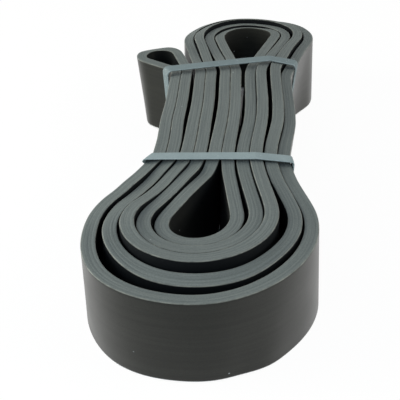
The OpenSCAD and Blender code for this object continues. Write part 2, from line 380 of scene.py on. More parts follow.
    def leg(self, out: float, along: float, straight: float, shoulder: float) -> Array:
        """One leg of an innermost turn as bend, straight and shoulder.

        Args:
            out: How far the leg reaches outward.
            along: Its length along the hank.
            straight: Share of its length that is straight.
            shoulder: Radius of the shoulder.

        Returns:
            Rows of [outward, along, slope in radians].
        """
        bend = (out**2 + along**2 * (1 - straight**2)) / (2 * out) - shoulder
        both, run = bend + shoulder, straight * along
        lean = math.atan2(along, both - out) - math.atan2(run, both)
        first = np.linspace(0, lean, self.bend_steps + 1)
        last = np.linspace(lean, 0, self.bend_steps + 1)
        begin = np.stack([bend * (1 - np.cos(first)), bend * np.sin(first), first], 1)
        end = np.stack([out - shoulder * (1 - np.cos(last)), along - shoulder * np.sin(last), last], 1)
        share = np.linspace(0, 1, self.bend_steps + 1)[1:-1, None]
        return np.concatenate([begin, mix(begin[-1], end[0], share), end])

    def half_turn(
        self, number: int, y: float, end: Span, size: Triple, straight: float, side: Side
    ) -> Array:
        """Half of an innermost turn, from the waist to its far end.

        Args:
            number: Strand that it starts from.
            y: Where it leaves the strand.
            end: Far end of the turn.
            size: Half width, half length and shoulder radius.
            straight: Straight share of the leg.
            side: Which half.

        Returns:
            Rows of [x, y, outward x, outward y, station].
        """
        half_width, half_length, shoulder = size
        x, sign = float(self.strand_x(number, y)), side.value
        way = math.copysign(1, end[1] - y)
        along = abs(end[1] - y) - half_length
        leg = self.leg(sign * (end[0] - x) + half_width, along, straight, shoulder)
        first = np.stack([
            x + sign * leg[:, 0], y + way * leg[:, 1],
            sign * np.cos(leg[:, 2]), -way * np.sin(leg[:, 2]), leg[:, 1] / along], 1)
        angle = np.linspace(0, math.pi / 2, self.quarter_steps + 1)[1:]
        normal = unit(np.stack([np.cos(angle) / half_width, np.sin(angle) / half_length], 1))
        last = np.stack([
            end[0] + sign * half_width * np.cos(angle), end[1] + way * half_length * (np.sin(angle) - 1),
            sign * normal[:, 0], way * normal[:, 1], 1 + angle * 2 / math.pi], 1)
        return np.concatenate([first, last])

    @staticmethod
    def whole_turn(left: Array, right: Array) -> Array:
        """Joins two halves of a turn, with rising stations from left to right.

        Args:
            left: Left half, from the waist to the far end.
            right: Right half, in the same way.

        Returns:
            Rows like those of the halves.
        """
        back = right[-2::-1].copy()
        back[:, STATION] = LAST_STATION - back[:, STATION]
        return np.concatenate([left, back])

    def nest(
        self, inner: Array, turn: int, y: float, ends: tuple[int, int],
        gaps: GapTable, levels: Table, splay: Table, slants: Table,
    ) -> Array:
        """A turn laid round an innermost turn.

        Args:
            inner: The innermost turn.
            turn: Number of the turn.
            y: End of the waist that it belongs to.
            ends: Strands that it joins, on the left and the right.
            gaps: Gaps between the turns, by station.
            levels: Heights of its lower edge between the strands.
            splay: How far the lower edge stands outward.
            slants: Outward slant of the upper edge.

        Returns:
            Route points.
        """
        left, right = ends
        station, outward = inner[:, STATION], inner[:, OUTWARD]
        first = float(self.strand_x(left + turn - 1, y) - self.strand_x(left, y))
        last = float(self.strand_x(right, y) - self.strand_x(right - turn + 1, y))
        steps = [(stop, (turn - 1) * self.thickness + sum(row[: turn - 1])) for stop, row in gaps]
        away = at_station([(0, first), *steps, (LAST_STATION, last)], station)[:, None]
        low, high = float(self.strand_z(left, y)), float(self.strand_z(right, y))
        begin, end = self.level_ends
        heights = [(0, low), (begin, low), *levels, (end, high), (LAST_STATION, high)]
        fall = slope(at_station(slants, station))[:, None]
        return np.concatenate([
            inner[:, PLAN] + outward * away, at_station(heights, station)[:, None],
            at_station(splay, station)[:, None] * outward, -fall * outward, -fall * self.thickness / 2], 1)

    def front_turn(self, turn: int) -> Array:
        """A front turn from left to right.

        Args:
            turn: Number of the turn.

        Returns:
            Route points.
        """
        y, far = self.front_y, (-self.front_shift, self.front_y - self.front_length)
        start, straight = y + self.front_lead, self.front_straight
        inner = self.whole_turn(
            self.half_turn(self.half, start, far, self.front_left, straight[0], Side.LEFT),
            self.half_turn(self.half + 1, y, far, self.front_right, straight[1], Side.RIGHT))
        left, right = self.half + 1 - turn, self.half + turn
        rows = self.front_rises, self.front_dips, self.front_leg_rises
        rise, dip, leg_rise = (row[turn - 1] for row in rows)
        low, high = (float(self.strand_z(number, y)) - dip for number in (left, right))
        levels = list(zip(self.front_level_stops, (low, leg_rise, rise, rise, high)))
        side, tip = self.front_slants[turn - 1]
        slants = list(zip(self.front_slant_stops, (0, 0, side, side, 0, tip, tip, 0, 0)))
        share = float(mix(self.inner_splay, 1, (turn - 1) / (self.half - 1)))
        splay = [(stop, share * value) for stop, value in self.front_splay]
        return self.nest(inner, turn, y, (left, right), self.front_gaps, levels, splay, slants)

    def rear_turn(self, turn: int) -> Array:
        """A rear turn from left to right.

        Args:
            turn: Number of the turn.

        Returns:
            Route points.
        """
        y, far = self.rear_y, (self.rear_shift, self.rear_y + self.rear_length)
        inner = self.whole_turn(
            self.half_turn(self.half + 1, y, far, self.rear_left, self.rear_straight[0], Side.LEFT),
            self.half_turn(self.half + 2, y, far, self.rear_right, self.rear_straight[1], Side.RIGHT))
        left, right = self.half + 2 - turn, self.half + 1 + turn
        rise, tip = self.rear_rises[turn - 1], self.rear_slants[turn - 1]
        levels = [(stop, rise) for stop in self.rear_level_stops]
        begin, end = -float(self.foot_shift(left, y)), float(self.foot_shift(right, y))
        splay = [(0, begin), *self.rear_splay, (LAST_STATION, end)]
        begin, end = -self.rear_falls[left - 1], self.rear_falls[right - 1]
        slants = list(zip(self.rear_slant_stops, (begin, begin, 0, tip, tip, tip / 4, 0, end, end)))
        return self.nest(inner, turn, y, (left, right), self.rear_gaps, levels, splay, slants)

    def side_loop(self) -> Array:
        """The side loop, from the first strand round to the second.

        Returns:
            Route points.
        """
        y = self.rear_y
        first, second = float(self.strand_x(1, y)), float(self.strand_x(2, y))
        far, tip = y + self.side_length, first - self.side_reach
        line = np.array([
            [first, y], [first, y + self.side_start], [tip, far - self.side_end],
            [tip + self.side_nose, far - self.side_skew], [second - self.side_turn, far + self.side_skew],
            [second, y + self.side_start], [second, y]])
        corners = enumerate(self.side_radii, 1)
        arcs = [round_corner(line, i, radius, self.corner_steps) for i, radius in corners]
        plan = np.concatenate([line[:1], *arcs, line[-1:]])
        share = np.linspace(0, 1, len(plan))
        tables = self.side_down, self.side_leaning, self.side_slanting, self.side_begin, self.side_finish
        down, leaning, slanting, begin, finish = (at_station(table, share) for table in tables)
        low = np.where(share < 0.5, self.strand_z(1, y), self.strand_z(2, y))
        feet = begin * self.foot_shift(1, y) + finish * self.foot_shift(2, y)
        fall = slope(self.side_slant) * slanting
        across = -slope(self.rear_falls[0]) * begin
        return np.stack([
            *plan.T, low * (1 - down), self.side_lean[0] * leaning + feet, self.side_lean[1] * leaning,
            across, -fall, -(fall + np.abs(across)) * self.thickness / 2], 1)

    def front_straps(self) -> tuple[Array, Array]:
        """Outermost straps at the front tie.

        Returns:
            Route points on the left and on the right.
        """
        turn = self.front_turn(self.half)
        far = len(turn) // 2
        return (
            np.concatenate([turn[far::-1], self.strand(1)]),
            np.concatenate([turn[far:], self.strand(self.strands)]))

    def rear_straps(self) -> tuple[Array, Array]:
        """Outermost straps at the rear tie.

        Returns:
            Route points on the left and on the right.
        """
        turn = self.rear_turn(self.half - 1)
        straight = self.side_loop()[:3]
        return (
            np.concatenate([self.strand(1), straight])[::-1],
            np.concatenate([turn[len(turn) // 2 :], self.strand(self.strands)[::-1]]))

    def laid(self) -> Array:
        """The whole route, once round the endless band, about the middle of the hank's outline.

        Returns:
            Route points.
        """
        front, rear, strand = self.front_turn, self.rear_turn, self.strand
        route = np.concatenate([
            front(5), strand(10), rear(4)[::-1], strand(3)[::-1], front(3), strand(8), rear(2)[::-1],
            strand(5)[::-1], front(1), strand(6), rear(1), strand(7)[::-1], front(2)[::-1], strand(4),
            rear(3), strand(9)[::-1], front(4)[::-1], strand(2), self.side_loop()[::-1], strand(1)[::-1]])
        route[:, PLAN] -= self.middle
        return route

    def even(self, spacing: float, blur: float) -> tuple[Array, float]:
        """The route with evenly spaced points and soft changes of bend.

        Args:
            spacing: Distance between neighbouring points.
            blur: Length over which neighbouring points are averaged.

        Returns:
            The points, and the length once round.
        """
        route = self.laid()
        closed = np.concatenate([route, route[:1]])
        steps = np.linalg.norm(np.diff(closed[:, PLAN], axis=0), axis=1)
        keep = np.concatenate([[True], steps > SAME_PLACE])
        run = np.concatenate([[0], np.cumsum(steps)])
        length = float(run[-1])
        count = int(round(length / spacing))
        stops = np.arange(count) * length / count
        points = np.stack([np.interp(stops, run[keep], column[keep]) for column in closed.T], 1)
        reach = int(BLUR_REACH * blur / spacing) + 1
        shifts = np.arange(-reach, reach + 1)
        weights = np.exp(-0.5 * (shifts * spacing / blur) ** 2)
        weights /= weights.sum()
        softened = sum(weight * np.roll(points, shift, axis=0) for shift, weight in zip(shifts, weights))
        return softened, length


@dataclass(frozen=True)
class Waves:
    """Gentle uneven waves, whole numbers of them once round the band, about within -1 to 1."""

    counts: tuple[int, ...]
    phase: float

    def at(self, turn: Array, later: float = 0.0) -> Array:
        """Values of the waves.

        Args:
            turn: Shares of the way round the band.
            later: Radians that the phase is moved on by.

        Returns:
            One value for each share.
        """
        phase = self.phase + later
        parts = [np.sin(2 * math.pi * n * turn + phase * (i + 1)) for i, n in enumerate(self.counts)]
        return sum(parts) / len(parts)


def make_mesh(name: str, points: Array, faces: Array) -> bpy.types.Object:
    """Makes a smooth mesh object from points in metres and its quads.

    Args:
        name: Name of the object and its mesh.
        points: Vertex positions.
        faces: Rows of four vertex indices.

    Returns:
        The new object, linked to the scene.
    """
    mesh = bpy.data.meshes.new(name)
    mesh.from_pydata(points.tolist(), [], faces.tolist())
    mesh.polygons.foreach_set("use_smooth", [True] * len(mesh.polygons))
    mesh.update()
    made = bpy.data.objects.new(name, mesh)
    bpy.context.scene.collection.objects.link(made)
    return made


def add_value(made: bpy.types.Object, value: PointValue, numbers: Array, domain: str = "POINT") -> None:
    """Stores a named value on a mesh, one number for each point or, in the domain "CORNER", face corner."""
    layer = made.data.attributes.new(value.value, "FLOAT", domain)
    layer.data.foreach_set("value", np.ascontiguousarray(numbers, np.float32).ravel())


def dress(made: bpy.types.Object, material: bpy.types.Material, node: str, body: Body, slot: Slot) -> None:
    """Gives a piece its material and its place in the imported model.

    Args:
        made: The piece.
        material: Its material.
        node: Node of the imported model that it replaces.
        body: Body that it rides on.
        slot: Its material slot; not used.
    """
    made.data.materials.append(material)
    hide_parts(node)
    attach(made, body.value)


def ring_faces(rings: int, around: int) -> Array:
    """Quads of a tube that is closed both ways, facing outward for a counter-clockwise profile.

    Args:
        rings: Number of rings.
        around: Points of each ring.

    Returns:
        Rows of four vertex indices.
    """
    i, j = np.meshgrid(np.arange(rings), np.arange(around), indexing="ij")
    next_i, next_j = (i + 1) % rings, (j + 1) % around
    quads = np.stack([i * around + j, next_i * around + j, next_i * around + next_j, i * around + next_j], -1)
    return quads.reshape(-1, 4)


class NodeBoard:
    """Places and joins shader nodes in one node tree."""

    def __init__(self, tree: NodeTree) -> None:
        """Keeps the tree that nodes are placed in."""
        self.tree = tree

    def node(self, kind: str, inputs: Optional[dict] = None, **settings: object) -> Node:
        """Adds a node.

        Args:
            kind: Node type.
            inputs: Values or sockets for its inputs, by name or index.
            settings: Properties of the node.

        Returns:
            The node.
        """
        made = self.tree.nodes.new(kind)
        for name, value in settings.items():
            setattr(made, name, value)
        for key, value in (inputs or {}).items():
            if isinstance(value, Socket):
                self.tree.links.new(value, made.inputs[key])
            else:
                made.inputs[key].default_value = value
        return made

    def math(self, operation: str, first: Link, second: Link, clamp: bool = False) -> Socket:
        """Adds a math node and returns its output."""
        made = self.node("ShaderNodeMath", {0: first, 1: second}, operation=operation, use_clamp=clamp)
        return made.outputs[0]

    def times(self, first: Link, second: Link) -> Socket:
        """Adds a product and returns it."""
        return self.math("MULTIPLY", first, second)

    def ranged(self, value: Link, span: Span, to: Span = (0.0, 1.0)) -> Socket:
        """Adds a smooth map range node.

        Args:
            value: Number to map.
            span: Numbers that it starts and ends at.
            to: What they become.

        Returns:
            The mapped number.
        """
        inputs = {"Value": value, "From Min": span[0], "From Max": span[1], "To Min": to[0], "To Max": to[1]}
        made = self.node("ShaderNodeMapRange", inputs, interpolation_type="SMOOTHSTEP")
        return made.outputs["Result"]

    def mixed(
        self, share: Link, first: Union[Socket, Colour], second: Union[Socket, Colour], blend: str = "MIX"
    ) -> Socket:
        """Adds a mix of two colours.

        Args:
            share: Share of the second colour.
            first: The first colour.
            second: The second colour.
            blend: How the second is laid over the first.

        Returns:
            The mixed colour.
        """
        first, second = (c if isinstance(c, Socket) else rgba(c) for c in (first, second))
        inputs = {0: share, 6: first, 7: second}
        return self.node("ShaderNodeMix", inputs, data_type="RGBA", blend_type=blend).outputs[2]

    def group(self, tree: NodeTree, **inputs: float) -> dict[str, Socket]:
        """Adds a node group with its own input values and returns its outputs."""
        return self.node("ShaderNodeGroup", inputs, node_tree=tree).outputs

    def value(self, value: PointValue) -> Socket:
        """Adds an attribute node for a mesh value and returns its number."""
        return self.node("ShaderNodeAttribute", attribute_name=value.value).outputs["Fac"]

    def own_place(self) -> Socket:
        """Adds the place in the object's own space and returns it."""
        return self.node("ShaderNodeTexCoord").outputs["Object"]

    def noise(self, place: Link, scale: Link, detail: float, rough: float) -> Socket:
        """Adds a noise texture and returns its number."""
        inputs = {"Vector": place, "Scale": scale, "Detail": detail, "Roughness": rough}
        return self.node("ShaderNodeTexNoise", inputs).outputs["Fac"]


def rgba(colour: Colour) -> tuple[float, float, float, float]:
    """A colour with full alpha."""
    return (*colour, 1.0)


@dataclass
class Effects:
    """Shader node groups that the band and its ties share."""

    # Grain: scale of its coarser part, share of the finer one, and levels of its shade and patches
    coarse_scale: float = 0.22
    fine_share: float = 0.65
    grain_levels: Span = (0.3, 0.7)
    # Specks: distances from their middle between which they fade out
    speck_fade: Span = (0.1, 0.26)
    # Painted corner highlight: levels of its patches, with its least and most
    glint_levels: Span = (0.32, 0.66)
    glint_shares: Span = (0.25, 1.0)

    def __post_init__(self) -> None:
        """Builds each group once."""
        self.grain = self.make_grain()
        self.specks = self.make_specks()
        self.glint = self.make_glint()

    @staticmethod
    def new_group(name: str, inputs: Sequence[str], outputs: Sequence[str]) -> NodeBoard:
        """Starts a node group.

        Args:
            name: Name of the group.
            inputs: Names of its number inputs.
            outputs: Names of its number outputs.

        Returns:
            A board for the group's nodes.
        """
        tree = bpy.data.node_groups.new(name, "ShaderNodeTree")
        for way, labels in (("INPUT", inputs), ("OUTPUT", outputs)):
            for label in labels:
                tree.interface.new_socket(label, in_out=way, socket_type="NodeSocketFloat")
        return NodeBoard(tree)

    def make_grain(self) -> NodeTree:
        """Fine matt grain of rubber.

        Returns:
            Group with a height for bump, an uneven shade and broad patches.
        """
        board = self.new_group("rubber_grain", ["Fine", "Broad"], ["Height", "Shade", "Patch"])
        enter, place = board.node("NodeGroupInput").outputs, board.own_place()
        fine = board.noise(place, enter["Fine"], detail=3.0, rough=0.6)
        coarse = board.noise(place, board.times(enter["Fine"], self.coarse_scale), detail=2.0, rough=0.5)
        patch = board.noise(place, enter["Broad"], detail=3.0, rough=0.55)
        parts = board.times(fine, self.fine_share), board.times(coarse, 1 - self.fine_share)
        board.node("NodeGroupOutput", {
            "Height": board.math("ADD", *parts),
            "Shade": board.ranged(fine, self.grain_levels),
            "Patch": board.ranged(patch, self.grain_levels)})
        return board.tree

    def make_specks(self) -> NodeTree:
        """Scattered pale specks.

        Returns:
            Group with their mask.
        """
        board = self.new_group("pale_specks", ["Scale", "Amount"], ["Mask"])
        enter = board.node("NodeGroupInput").outputs
        cells = board.node("ShaderNodeTexVoronoi", {"Vector": board.own_place(), "Scale": enter["Scale"]})
        chosen = board.node("ShaderNodeSeparateColor", {"Color": cells.outputs["Color"]}).outputs["Red"]
        picked = board.math("LESS_THAN", chosen, enter["Amount"])
        dot = board.ranged(cells.outputs["Distance"], self.speck_fade, (1.0, 0.0))
        board.node("NodeGroupOutput", {"Mask": board.times(dot, picked)})
        return board.tree

    def make_glint(self) -> NodeTree:
        """Painted highlight along the rounded corners, uneven along the edge.

        Returns:
            Group with their mask.
        """
        board = self.new_group("painted_corner_glint", ["Scale", "Amount"], ["Mask"])
        enter = board.node("NodeGroupInput").outputs
        patchy = board.noise(board.own_place(), enter["Scale"], detail=3.0, rough=0.6)
        uneven = board.ranged(patchy, self.glint_levels, self.glint_shares)
        painted_glint = board.times(board.value(PointValue.CORNER), uneven)
        board.node("NodeGroupOutput", {"Mask": board.math("MULTIPLY", painted_glint, enter["Amount"], clamp=True)})
        return board.tree


def new_material(name: str) -> tuple[bpy.types.Material, NodeBoard]:
    """Starts an empty material.

    Args:
        name: Name of the material.

    Returns:
        The material, and a board for its nodes.
    """
    made = bpy.data.materials.new(name)
    made.use_nodes = True
    made.node_tree.nodes.clear()
    return made, NodeBoard(made.node_tree)


def add_shader(board: NodeBoard, height: Socket, bump: Span, inputs: dict[str, Link]) -> None:
    """Adds a material's shader and joins it to the material's output.

    Args:
        board: The material's board.
        height: Height of its bump.
        bump: Strength of the bump, and its depth in metres.
        inputs: Inputs of the shader apart from its normal.
    """
    bumped = board.node("ShaderNodeBump", {"Height": height, "Strength": bump[0], "Distance": bump[1]})
    shader = board.node("ShaderNodeBsdfPrincipled", {**inputs, "Normal": bumped.outputs["Normal"]})
    board.node("ShaderNodeOutputMaterial", {"Surface": shader.outputs[0]})


@dataclass(frozen=True)
class Streaks:
    """Streaks drawn out along the strap: noise in the strap's own space, cut off between two levels."""

    along: float
    across: float
    up: float
    scale: float
    detail: float
    levels: Span
    rough: float = 0.5

    def mask(self, board: NodeBoard) -> Socket:
        """Adds the streaks to a material.

        Args:
            board: The material's board.

        Returns:
            Their mask.
        """
        factors = {PointValue.ALONG: self.along, PointValue.ACROSS: self.across, PointValue.UP: self.up}
        parts = [board.times(board.value(value), factor) for value, factor in factors.items()]
        place = board.node("ShaderNodeCombineXYZ", dict(enumerate(parts))).outputs[0]
        return board.ranged(board.noise(place, self.scale, self.detail, self.rough), self.levels)


@dataclass(frozen=True)
class BandFinish:
    """Layered black rubber: dark satin faces, paler cut edges with the lines of their layers."""

    face: Colour = (0.0185, 0.0190, 0.0165)
    face_pale: Colour = (0.030, 0.0305, 0.0265)
    # Painted shade on faces where straps lie close together
    face_painted_shade: Colour = (0.006, 0.0070, 0.0080)
    cut: Colour = (0.124, 0.141, 0.137)
    cut_dark: Colour = (0.106, 0.121, 0.119)
    cut_pale: Colour = (0.141, 0.158, 0.152)
    cut_groove: Colour = (0.0583, 0.06655, 0.06545)
    # Colour of the painted highlight along the rounded corners
    painted_glint: Colour = (0.30, 0.31, 0.275)
    speck: Colour = (0.42, 0.45, 0.46)
    # Shares of the colours that are laid over others
    line_share: float = 0.6
    groove_share: float = 0.35
    streak_share: float = 0.55
    patch_share: float = 0.35
    speck_share: float = 0.75
    shades: Span = (0.9, 1.08)
    # Roughness and shine; the polish shows on free faces seen at a low angle
    face_rough: float = 0.44
    cut_rough: float = 0.66
    uneven: float = 0.08
    shine: float = 0.10
    polish: float = 0.8
    polish_rough: float = 0.5
    polish_angles: Span = (0.3, 0.82)
    polish_shares: Span = (0.05, 1.0)
    bump: Span = (0.05, 0.0004)
    broad_lines: Streaks = Streaks(9.0, 1.0, 40.0, scale=3.2, detail=1.5, levels=(0.34, 0.66))
    thin_lines: Streaks = Streaks(9.0, 1.0, 40.0, scale=10.56, detail=2.0, levels=(0.36, 0.6))
    face_streaks: Streaks = Streaks(5.0, 0.3, 14.0, scale=1.6, detail=4.0, levels=(0.32, 0.7), rough=0.55)

    def make(self, effects: Effects) -> bpy.types.Material:
        """Builds the material.

        Args:
            effects: Shared node groups.

        Returns:
            The material.
        """
        made, board = new_material("layered_band_rubber")
        grain = board.group(effects.grain, Fine=2600.0, Broad=60.0)
        specks = board.group(effects.specks, Scale=650.0, Amount=0.004)["Mask"]
        glint = board.group(effects.glint, Scale=260.0, Amount=0.55)["Mask"]
        cut, groove, free = (board.value(v) for v in (PointValue.CUT, PointValue.GROOVE, PointValue.OPEN))

        thin = self.thin_lines.mask(board)
        edge = board.mixed(self.broad_lines.mask(board), self.cut_dark, self.cut_pale)
        edge = board.mixed(board.times(thin, self.line_share), edge, self.cut)
        edge = board.mixed(board.times(groove, self.groove_share), edge, self.cut_groove)

        streaks = board.times(self.face_streaks.mask(board), self.streak_share)
        wall = board.mixed(streaks, self.face, self.face_pale)
        wall = board.mixed(board.times(grain["Patch"], self.patch_share), wall, self.face)
        # Faces near the next strap take painted shade
        wall = board.mixed(free, self.face_painted_shade, wall)

        colour = board.mixed(cut, wall, edge)
        shade = board.ranged(grain["Shade"], (0.0, 1.0), self.shades)
        colour = board.mixed(1.0, colour, shade, "MULTIPLY")
        # Painted highlight along the rounded corners
        colour = board.mixed(glint, colour, self.painted_glint)
        colour = board.mixed(board.times(specks, self.speck_share), colour, self.speck)

        levels = {0: cut, 2: self.face_rough, 3: self.cut_rough}
        rough = board.node("ShaderNodeMix", levels, data_type="FLOAT").outputs[0]
        uneven = board.times(board.math("SUBTRACT", grain["Patch"], 0.5), self.uneven)

        facing = board.node("ShaderNodeLayerWeight", {"Blend": 0.5}).outputs["Facing"]
        polish = board.times(board.math("SUBTRACT", free, cut, clamp=True), self.polish)
        polish = board.times(polish, board.ranged(facing, self.polish_angles, self.polish_shares))
        height = board.math("ADD", grain["Height"], board.times(thin, cut))
        add_shader(board, height, self.bump, {
            "Base Color": colour,
            "Roughness": board.math("ADD", rough, uneven, clamp=True),
            "Specular IOR Level": self.shine,
            "Coat Weight": polish,
            "Coat Roughness": self.polish_rough})
        return made


@dataclass(frozen=True)
class TieFinish:
    """Blue-grey rubber of the ties, finely speckled with powder."""

    base: Colour = (0.190, 0.243, 0.252)
    pale: Colour = (0.238, 0.294, 0.304)
    dark: Colour = (0.145, 0.188, 0.198)
    # Colour of the painted highlight along the rounded corners
    painted_glint: Colour = (0.30, 0.36, 0.38)
    speck: Colour = (0.45, 0.50, 0.52)
    dark_share: float = 0.5
    speck_share: float = 0.4
    roughness: Span = (0.57, 0.67)
    shine: float = 0.3
    bump: Span = (0.12, 0.0003)

    def make(self, effects: Effects) -> bpy.types.Material:
        """Builds the material.

        Args:
            effects: Shared node groups.

        Returns:
            The material.
        """
        made, board = new_material("blue_grey_tie_rubber")
        grain = board.group(effects.grain, Fine=3000.0, Broad=140.0)
        specks = board.group(effects.specks, Scale=900.0, Amount=0.10)["Mask"]
        glint = board.group(effects.glint, Scale=420.0, Amount=0.6)["Mask"]
        colour = board.mixed(grain["Patch"], self.base, self.pale)
        colour = board.mixed(board.times(grain["Shade"], self.dark_share), colour, self.dark)
        # Painted highlight along the rounded corners
        colour = board.mixed(glint, colour, self.painted_glint)
        colour = board.mixed(board.times(specks, self.speck_share), colour, self.speck)
        add_shader(board, grain["Height"], self.bump, {
            "Base Color": colour,
            "Roughness": board.ranged(grain["Patch"], (0.0, 1.0), self.roughness),
            "Specular IOR Level": self.shine})
        return made


class ProfilePoint(NamedTuple):
    """A point of the strap's cross-section, with its values; line is the number of a groove or -1."""

    offset: float
    height: float
    cut: float = 0.0
    corner: float = 0.0
    groove: float = 0.0
    line: int = -1


@dataclass
class LoopBand:
    """The endless band, built along the hank's route with a rounded strap profile; sizes in millimetres."""

    route: HankRoute
    finish: BandFinish
    thickness: float = 4.45
    rounding: float = 0.34
    arc_steps: int = 4
    edge_inset: float = 0.12
    face_levels: Row = (0.03, 0.14, 0.3, 0.5, 0.7, 0.86, 0.97)
    spacing: float = 1.6
    blur: float = 1.5
    # Power of the height with which the upper edge's slant fades out downward
    slant_power: int = 3
    # Lines along the cut edges
    grooves: Row = (-0.95, 0.1, 1.0)
    groove_width: float = 0.15
    groove_depth: float = 0.06
    depth_shares: Span = (0.75, 0.5)
    depth_waves: Waves = Waves((37, 53, 91), 0.4)
    wander: float = 0.14
    wander_waves: Waves = Waves((23, 41, 67), 1.3)
    # Unevenness of the faces and of the upper edge
    swell: float = 0.05
    swell_waves: Waves = Waves((31, 47, 73), 0.7)
    rise: float = 0.025
    rise_waves: Waves = Waves((29, 59, 83), 2.1)
    # Gap to the next strap up to which a face counts as shut and gets painted shade, and over which it opens
    shut_gap: float = 4.0
    open_gap: float = 28.0

    def arc(self, side: float, height: float, start: int) -> list[ProfilePoint]:
        """A rounded corner.

        Args:
            side: Side offset of its centre.
            height: Height of its centre.
            start: Angle in degrees that it starts at; from 0 and 180 it leads into a cut edge.

        Returns:
            Its points.
        """
        share = np.linspace(0, 1, self.arc_steps + 1)
        angle = np.radians(start + 90 * share)
        cut = share if start % 180 == 0 else 1 - share
        offset, rise = self.rounding * np.cos(angle), self.rounding * np.sin(angle)
        rows = zip(side + offset, height + rise, cut, np.sin(math.pi * share))
        return [ProfilePoint(*row) for row in rows]

    def cut_edge(self, height: float, sign: int) -> list[ProfilePoint]:
        """A cut edge with its grooves.

        Args:
            height: Height of the edge.
            sign: 1 from right to left, -1 from left to right.

        Returns:
            Its points.
        """
        end = sign * (self.thickness / 2 - self.rounding - self.edge_inset)
        points = [ProfilePoint(end, height, cut=1.0)]
        for line in range(len(self.grooves))[::-sign]:
            for part, deep in ((1, 0.0), (0, 1.0), (-1, 0.0)):
                offset = self.grooves[line] + sign * part * self.groove_width
                points.append(ProfilePoint(offset, height, cut=1.0, groove=deep, line=line))
        return [*points, ProfilePoint(-end, height, cut=1.0)]

    def profile(self) -> ProfilePoint:
        """The strap's cross-section, counter-clockwise seen along the route.

        Returns:
            One array for each field.
        """
        half, high, r = self.thickness / 2, self.route.width, self.rounding
        flat = half - r
        points = [
            *(ProfilePoint(half, level * high) for level in self.face_levels),
            *self.arc(flat, high - r, 0),
            *self.cut_edge(high, 1),
            *self.arc(-flat, high - r, 90),
            *(ProfilePoint(-half, level * high) for level in reversed(self.face_levels)),
            *self.arc(-flat, r, 180),
            *self.cut_edge(0.0, -1),
            *self.arc(flat, r, 270),
        ]
        return ProfilePoint(*np.array(points, float).T)

    def points(self, route: Array, profile: ProfilePoint) -> Array:
        """Positions of all points.

        Args:
            route: Evenly spaced route points.
            profile: The strap's cross-section.

        Returns:
            Array of rings by profile points by three, in millimetres.
        """
        turn = np.arange(len(route)) / len(route)
        ahead = headings(route[:, PLAN])
        normal = np.stack([ahead[:, 1], -ahead[:, 0]], 1)
        share = profile.height / self.route.width
        top = share > 0.5
        offset = np.outer(self.swell * self.swell_waves.at(turn), np.sin(math.pi * share)) + profile.offset
        height = np.outer(self.rise * self.rise_waves.at(turn), np.where(top, share, 0.0)) + profile.height
        least, more = self.depth_shares
        for line in range(len(self.grooves)):
            mine = profile.line == line
            deep = self.groove_depth * (least + more * self.depth_waves.at(turn, 2 * line))
            offset[:, mine] += self.wander * self.wander_waves.at(turn, line)[:, None]
            height[:, mine] += np.outer(deep, profile.groove[mine] * np.where(top[mine], -1.0, 1.0))
        low = (1 - share)[None, :, None] * route[:, None, SHIFT]
        plan = route[:, None, PLAN] + low + normal[:, None, :] * offset[:, :, None]
        fall = np.einsum("ij,ij->i", route[:, SLOPE], normal)
        slanted = fall[:, None] * offset + route[:, LIFT, None]
        z = route[:, FOOT, None] + height + slanted * share**self.slant_power
        return np.concatenate([plan, np.maximum(z, 0.0)[:, :, None]], 2)

    def openness(self, route: Array, offset: Array) -> Array:
        """How freely each point's side of the strap faces the room, by the distance to the next strap.

        Args:
            route: Evenly spaced route points.
            offset: Side offsets of the profile points.

        Returns:
            Array of rings by profile points, 0 where straps lie together and 1 where none is near.
        """
        place = route[:, PLAN]
        ahead = headings(place)
        apart = place[None, :, :] - place[:, None, :]
        along = np.einsum("ijk,ik->ij", apart, ahead)
        across = apart[:, :, 0] * ahead[:, None, 1] - apart[:, :, 1] * ahead[:, None, 0]
        beside = np.abs(along) < self.spacing
        sides = []
        for sign in (-1, 1):
            gap = np.where(beside & (sign * across > self.thickness / 2), sign * across, np.inf).min(1)
            sides.append(smooth((gap - self.thickness - self.shut_gap) / self.open_gap)[:, None])
        share = np.clip(offset / self.thickness + 0.5, 0, 1)[None, :]
        return mix(*sides, share)

    def build(self, effects: Effects) -> bpy.types.Object:
        """Builds and dresses the band.

        Args:
            effects: Shared node groups.

        Returns:
            The band.
        """
        profile = self.profile()
        route, length = self.route.even(self.spacing, self.blur)
        points = self.points(route, profile)
        rings, around = points.shape[:2]
        faces = ring_faces(rings, around)
        made = make_mesh("loop_band_rubber", points.reshape(-1, 3) * MM, faces)
        for value, numbers in (
            (PointValue.ACROSS, profile.offset / (self.thickness / 2)),
            (PointValue.UP, profile.height / self.route.width),
            (PointValue.CUT, profile.cut),
            (PointValue.CORNER, profile.corner),
            (PointValue.GROOVE, profile.groove),
        ):
            add_value(made, value, np.tile(numbers, rings))
        add_value(made, PointValue.OPEN, self.openness(route, profile.offset))
        ring = faces // around
        unrolled = np.where((ring == 0) & (ring.max(1, keepdims=True) == rings - 1), rings, ring)
        add_value(made, PointValue.ALONG, unrolled * (length / rings) * MM, "CORNER")
        dress(made, self.finish.make(effects), "loop_band", Body.BAND, Slot.BAND_RUBBER)
        return made


